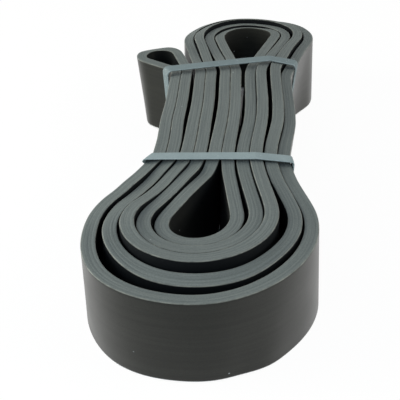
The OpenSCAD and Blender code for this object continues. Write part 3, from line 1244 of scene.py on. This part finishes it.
@dataclass
class RubberTie:
    """A flat rubber ring that holds the strands together; sizes in millimetres, angles in degrees.

    The straps are the outermost ones on its left and its right, and peak is the strand under its crest.
    Pairs of numbers are for its front and its rear edge.
    """

    route: HankRoute
    finish: TieFinish
    name: str
    node: str
    body: Body
    y: float
    width: float
    travel: float
    skew: float
    peak: float
    straps: tuple[Array, Array]
    strap_thickness: float
    # Room on the left and the right, raise of the top, and how much lower it lies on the left
    stand_off: Span
    spare: float
    tilt: Span
    drop: float = 0.0
    # How far the left side runs rearward on its way down, and over which height
    rake: float = 0.0
    rake_reach: float = 5.0
    # Thickness, room above and beside the strands, and radii
    thickness: float = 0.6
    clear: float = 0.4
    snug: float = 0.05
    corner: float = 1.0
    foot_corner: float = 0.8
    rounding: float = 0.22
    crown: float = 0.04
    # Inset of the flats from the edges, in radii of the rounding, and painted highlight of the inner corners
    flat_inset: float = 3.0
    inside_glint: float = 0.3
    # Height, number and phase of the waves along the edges
    ripples: tuple[Triple, ...] = ((0.05, 5, 0.0), (0.03, 13, 0.6))
    corner_steps: int = 8
    straight_step: float = 1.5
    travel_steps: int = 4
    meeting_steps: int = 20

    @property
    def turned(self) -> Span:
        """Cosine and sine of the skew."""
        return math.cos(math.radians(self.skew)), math.sin(math.radians(self.skew))

    def meets(self, side: Side, across: float, foot: bool) -> float:
        """Where the tie meets the outermost strap on one side.

        Args:
            side: Which side of the hank.
            across: Place across the tie's width, from its middle.
            foot: True for the strap's lower edge, False for its upper one.

        Returns:
            Place along the tie, from its middle.
        """
        strap = self.straps[0 if side is Side.LEFT else 1]
        line = strap[:, PLAN] + (strap[:, SHIFT] if foot else 0.0)
        ahead = unit(np.gradient(line, axis=0))
        normal = np.stack([np.abs(ahead[:, 1]), -ahead[:, 0] * np.sign(ahead[:, 1])], 1) * side.value
        face = line + normal * (self.strap_thickness / 2 + self.snug)
        x, y = face[np.argsort(face[:, 1], kind="stable")].T
        c, s = self.turned
        place = 0.0
        for _ in range(self.meeting_steps):
            place = (float(np.interp(self.y + place * s + across * c, y, x)) + across * s) / c
        return place

    def edge_lines(self) -> list[Array]:
        """Corner points of the ring's inner outline.

        Returns:
            One line for its front edge and one for its rear edge.
        """
        route, numbers = self.route, range(1, self.route.strands + 1)
        stops = np.linspace(self.y, self.y + self.travel, self.travel_steps + 1)
        above = route.width + self.clear - self.snug
        top = [float(route.strand_z(i, stops).max()) + route.sags[i - 1] + above for i in numbers]
        crest = np.interp(self.peak, numbers, [float(route.strand_x(i, self.y)) for i in numbers]), max(top)
        top[0] -= self.drop
        lines = []
        for half, off, up in zip((-self.width / 2, self.width / 2), self.stand_off, self.tilt):
            left = [self.meets(Side.LEFT, half + self.rake * foot, foot) - off for foot in (False, True)]
            right = [self.meets(Side.RIGHT, half, foot) + self.spare for foot in (False, True)]
            line = [
                (right[1], self.thickness), (right[0], top[-1] + up),
                (crest[0], crest[1] + up), (left[0], top[0] + up)]
            if self.rake:
                raked = self.meets(Side.LEFT, half + self.rake, False) - off
                line.append((raked, top[0] + up - self.rake_reach))
            lines.append(np.array([*line, (left[1], self.thickness)]))
        return lines

    def outline(self, line: Array, counts: Sequence[int]) -> Array:
        """Closed outline with rounded corners and points along its straights.

        Args:
            line: Corner points.
            counts: Number of points along each straight.

        Returns:
            Points of the outline.
        """
        radii = [self.foot_corner, *[self.corner] * (len(line) - 2), self.foot_corner]
        arcs = [round_corner(line, i, radius, self.corner_steps) for i, radius in enumerate(radii)]
        parts = []
        for arc, following, count in zip(arcs, [*arcs[1:], arcs[0]], counts):
            share = np.linspace(0, 1, count + 2)[1:-1, None]
            parts += [arc, mix(arc[-1], following[0], share)]
        return np.concatenate(parts)

    def profile(self) -> Array:
        """Cross-section of the tie.

        Returns:
            Rows of [share of the half width, height above the inside, corner].
        """
        half, high, r = self.width / 2, self.thickness, self.rounding
        flat = (half - self.flat_inset * r) / half
        outside = [(s * flat, high + self.crown * (1 - s * s), 0.0) for s in (1, 0.5, 0, -0.5, -1)]
        inside = [(s * flat, 0.0, 0.0) for s in (-1, 0, 1)]
        rows: list[Triple] = []
        for side, height, start, glint, following in (
            (half - r, high - r, 0, 1.0, outside),
            (-half + r, high - r, 90, 1.0, []),
            (-half + r, r, 180, self.inside_glint, inside),
            (half - r, r, 270, self.inside_glint, []),
        ):
            for step, painted_light in zip((0, 30, 60, 90), (0.0, glint, glint, 0.0)):
                angle = math.radians(start + step)
                rows.append(((side + r * math.cos(angle)) / half, height + r * math.sin(angle), painted_light))
            rows += following
        return np.array(rows)

    def build(self, effects: Effects) -> bpy.types.Object:
        """Builds and dresses the tie.

        Args:
            effects: Shared node groups.

        Returns:
            The tie.
        """
        front, rear = self.edge_lines()
        lengths = np.linalg.norm(np.roll(front, -1, axis=0) - front, axis=1)
        counts = [max(2, int(span / self.straight_step)) for span in lengths]
        first, last = (self.outline(line, counts)[:, None, :] for line in (front, rear))
        profile = self.profile()
        around = len(first)
        ring = mix(first, last, ((profile[:, 0] + 1) / 2)[None, :, None])
        along = headings(ring)
        outward = np.stack([along[:, :, 1], -along[:, :, 0]], 2)
        x, z = np.moveaxis(ring + outward * profile[None, :, 1, None], 2, 0)
        turns = np.arange(around) / around * 2 * math.pi
        ripple = sum(height * np.sin(count * turns + phase) for height, count, phase in self.ripples)
        y = profile[None, :, 0] * self.width / 2 + ripple[:, None]
        if self.rake:
            leftward = np.clip((front[0, 0] - x) / (front[0, 0] - front[-1, 0]), 0, 1)
            y = y + self.rake * leftward * smooth((front[3, 1] - z) / self.rake_reach)
        c, s = self.turned
        middle = self.route.middle
        points = np.stack([
            x * c - y * s - middle[0], x * s + y * c + self.y - middle[1], np.maximum(z, 0.0)], 2)
        made = make_mesh(self.name, points.reshape(-1, 3) * MM, ring_faces(around, len(profile)))
        add_value(made, PointValue.CORNER, np.tile(profile[:, 2], around))
        dress(made, self.finish.make(effects), self.node, self.body, Slot.TIE_RUBBER)
        return made


@dataclass(frozen=True)
class Lamp:
    """A round soft lamp, in metres and watts."""

    name: str
    place: Place
    size: float
    power: float
    colour: Colour

    def hang(self, aim: Place) -> None:
        """Hangs the lamp.

        Args:
            aim: Point that it shines at.
        """
        data = bpy.data.lights.new(self.name, "AREA")
        data.shape, data.size, data.energy, data.color = "DISK", self.size, self.power, self.colour
        lamp = bpy.data.objects.new(self.name, data)
        lamp.location = self.place
        lamp.rotation_euler = (Vector(aim) - Vector(self.place)).to_track_quat("-Z", "Y").to_euler()
        bpy.context.scene.collection.objects.link(lamp)
        LOG.info("%s: %.1f W", self.name, self.power)


@dataclass
class Studio:
    """Camera, pale floor and soft light; lengths in metres, angles in degrees."""

    camera_place: Place = (0.01182999, -0.2293702, 0.157)
    camera_turn: Triple = (54.0, 0.0, 5.0)
    lens: float = 60.0
    sensor: float = 36.0
    nearest: float = 0.01
    floor_size: float = 6.0
    floor_depth: float = 0.0001
    floor_colour: Colour = (0.92, 0.92, 0.92)
    # Share of plain white in the floor as it is seen, and how open to the sky it starts and is full
    floor_white: float = 0.95
    shelter: Span = (0.26, 0.40)
    shelter_reach: float = 0.06
    white: Colour = (1.0, 1.0, 1.0)
    surround: float = 0.42
    lamps: tuple[Lamp, ...] = (
        Lamp("top_lamp", (0.05, 0.05, 0.75), 0.7, 0.25, (1.0, 0.99, 0.93)),
        Lamp("left_lamp", (-0.6, -0.1, 0.22), 0.5, 5.2, (1.0, 1.0, 0.92)),
        Lamp("right_lamp", (0.6, -0.05, 0.30), 0.5, 2.5, (1.0, 1.0, 0.94)),
        Lamp("near_lamp", (-0.08, -0.30, 0.30), 0.25, 0.34, (0.70, 0.95, 1.2)),
    )
    aim: Place = (0.0, 0.0, 0.02)

    def camera(self) -> None:
        """Sets the camera at the photograph's angle."""
        data = bpy.data.cameras.new("camera")
        data.lens, data.sensor_width, data.clip_start = self.lens, self.sensor, self.nearest
        camera = bpy.data.objects.new("camera", data)
        camera.location = self.camera_place
        camera.rotation_euler = [math.radians(a) for a in self.camera_turn]
        bpy.context.scene.collection.objects.link(camera)
        bpy.context.scene.camera = camera
        LOG.info("camera: %.0f mm lens", self.lens)

    @staticmethod
    def seen_directly(board: NodeBoard) -> Socket:
        """Tells rays that see a thing directly from those that only carry light.

        Args:
            board: Board that the nodes go on.

        Returns:
            1 for camera, mirror and see-through rays, 0 for the others.
        """
        path = board.node("ShaderNodeLightPath").outputs
        first = board.math("MAXIMUM", path["Is Camera Ray"], path["Is Glossy Ray"])
        return board.math("MAXIMUM", first, path["Is Transmission Ray"])

    def floor(self) -> None:
        """Lays the floor, white where it is seen and darker where the hank shelters it."""
        corners = np.array([[-1, -1], [1, -1], [1, 1], [-1, 1]]) * self.floor_size / 2
        points = np.column_stack([corners, np.full(len(corners), -self.floor_depth)])
        floor = make_mesh("floor", points, np.arange(len(corners))[None, :])
        material, board = new_material("pale_floor")
        matt = board.node("ShaderNodeBsdfDiffuse", {"Color": rgba(self.floor_colour)})
        white = board.node("ShaderNodeEmission", {"Color": rgba(self.white), "Strength": 1.0})
        sky = board.node("ShaderNodeAmbientOcclusion", {"Distance": self.shelter_reach}, samples=16)
        free = board.ranged(sky.outputs["AO"], self.shelter)
        share = board.times(board.times(self.seen_directly(board), self.floor_white), free)
        blend = board.node("ShaderNodeMixShader", {0: share, 1: matt.outputs[0], 2: white.outputs[0]})
        board.node("ShaderNodeOutputMaterial", {"Surface": blend.outputs[0]})
        floor.data.materials.append(material)
        LOG.info("floor: %.1f m", self.floor_size)

    def world(self) -> None:
        """Sets white surroundings, dimmer as light than as they look."""
        world = bpy.data.worlds.new("studio")
        world.use_nodes = True
        world.node_tree.nodes.clear()
        board = NodeBoard(world.node_tree)
        added = board.times(self.seen_directly(board), 1 - self.surround)
        strength = board.math("ADD", added, self.surround)
        back = board.node("ShaderNodeBackground", {"Color": rgba(self.white), "Strength": strength})
        board.node("ShaderNodeOutputWorld", {"Surface": back.outputs[0]})
        bpy.context.scene.world = world

    def build(self) -> None:
        """Sets up the whole studio."""
        self.camera()
        self.floor()
        self.world()
        for lamp in self.lamps:
            lamp.hang(self.aim)
        bpy.context.scene.view_settings.view_transform = "Standard"


def main() -> None:
    """Builds the studio, the band and its ties in order, and reports each piece."""
    logging.basicConfig(level=logging.INFO, format="%(name)s: %(message)s")
    Studio().build()
    route = HankRoute()
    effects = Effects()
    band = LoopBand(route, BandFinish())
    front_tie = RubberTie(
        route, TieFinish(), "front_tie_rubber", "front_tie", Body.FRONT_TIE,
        y=route.front_y - 2.1, width=4.8, travel=6.0, skew=3.4, peak=8.0,
        straps=route.front_straps(), strap_thickness=band.thickness, stand_off=(0.05, 0.05), spare=0.28,
        tilt=(0.25, -0.1), drop=0.9, rake=3.2, thickness=0.45, snug=0.02, corner=0.8)
    # The rear tie gets a darker copy of the tie rubber: painted shade, the same rubber shown less lit
    painted_light = TieFinish(base=(0.130, 0.166, 0.174), pale=(0.154, 0.194, 0.202), dark=(0.100, 0.130, 0.138))
    rear_tie = RubberTie(
        route, painted_light, "rear_tie_rubber", "rear_tie", Body.REAR_TIE,
        y=route.rear_y + 4.4, width=3.2, travel=-30.0, skew=12.0, peak=8.6,
        straps=route.rear_straps(), strap_thickness=band.thickness, stand_off=(0.8, 3.2), spare=0.12,
        tilt=(0.0, 0.8), corner=2.0)
    for piece in (band, front_tie, rear_tie):
        made = piece.build(effects)
        LOG.info("%s: %d points, %d faces", made.name, len(made.data.vertices), len(made.data.polygons))


if __name__ == "__main__":
    main()
